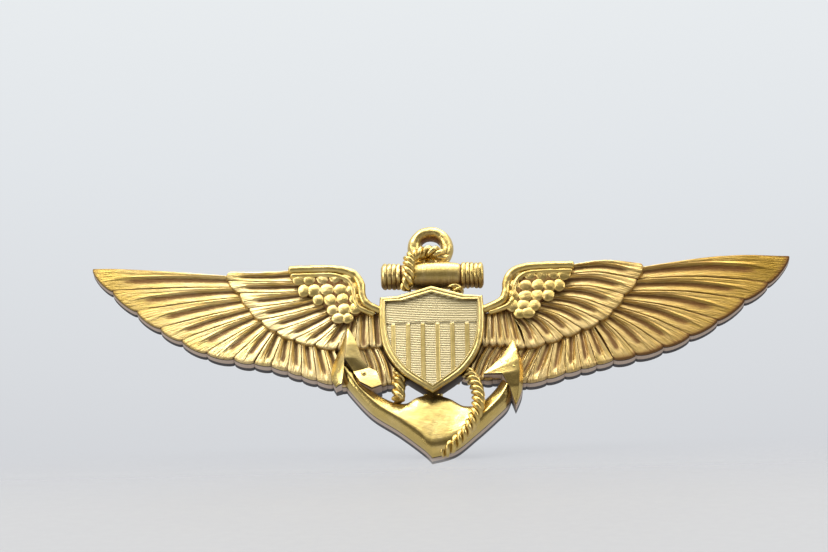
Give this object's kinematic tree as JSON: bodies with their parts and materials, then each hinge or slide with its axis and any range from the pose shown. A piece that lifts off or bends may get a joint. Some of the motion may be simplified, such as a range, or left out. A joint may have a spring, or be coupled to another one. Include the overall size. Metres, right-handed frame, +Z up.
{
  "type": "pilot wings pin badge",
  "caption": "Winged badge with a fouled anchor and striped shield in front, and a hinged pin with a turning safety catch behind.",
  "frame": {"origin": "middle of the badge's flat back, on the bridge behind the shield", "axes": "+X along the span, towards the right-hand wing tip seen from the front; +Z up as worn; +Y out of the flat back; the relief faces -Y"},
  "size_m": [0.0699, 0.0091, 0.0255],
  "materials": {
    "feathers": "gold-plated, finely brushed along the feathers",
    "bridge": "gold-plated, plain back",
    "anchor": "gold-plated, bright",
    "stock": "gold-plated, bright with ends finely grained",
    "ring": "gold-plated, bright",
    "rope": "gold-plated, twisted strands",
    "shield": "gold-plated, hatched field under a plain rim",
    "findings": "gold-plated, satin",
    "pin_wire": "hard-drawn nickel silver wire, pale gold plate",
    "rotor": "gold-plated, satin"
  },
  "bodies": {
    "badge": {"left_wing": "feathers", "right_wing": "feathers", "wing_bridge": "bridge", "anchor": "anchor", "left_palm": "anchor", "right_palm": "anchor", "anchor_stock": "stock", "anchor_ring": "ring", "ring_rope": "rope", "stock_rope": "rope", "left_rope": "rope", "right_rope": "rope", "shield": "shield", "hinge_bracket": "findings", "hinge_rivet": "findings", "catch_bracket": "findings"},
    "pin_stem": {"pin_stem": "pin_wire"},
    "catch_rotor": {"catch_rotor": "rotor"}
  },
  "joints": [
    {"name": "pin_hinge", "type": "hinge", "parent": "badge", "child": "pin_stem", "pos_m": [-0.01949, 0.0026, 0.003], "axis": [0, 0, 1], "range_deg": [0, 85]},
    {"name": "catch_turn", "type": "hinge", "parent": "badge", "child": "catch_rotor", "pos_m": [0.01998, 0.0026, 0.003], "axis": [1, 0, 0], "range_deg": [0, 80]}
  ]
}
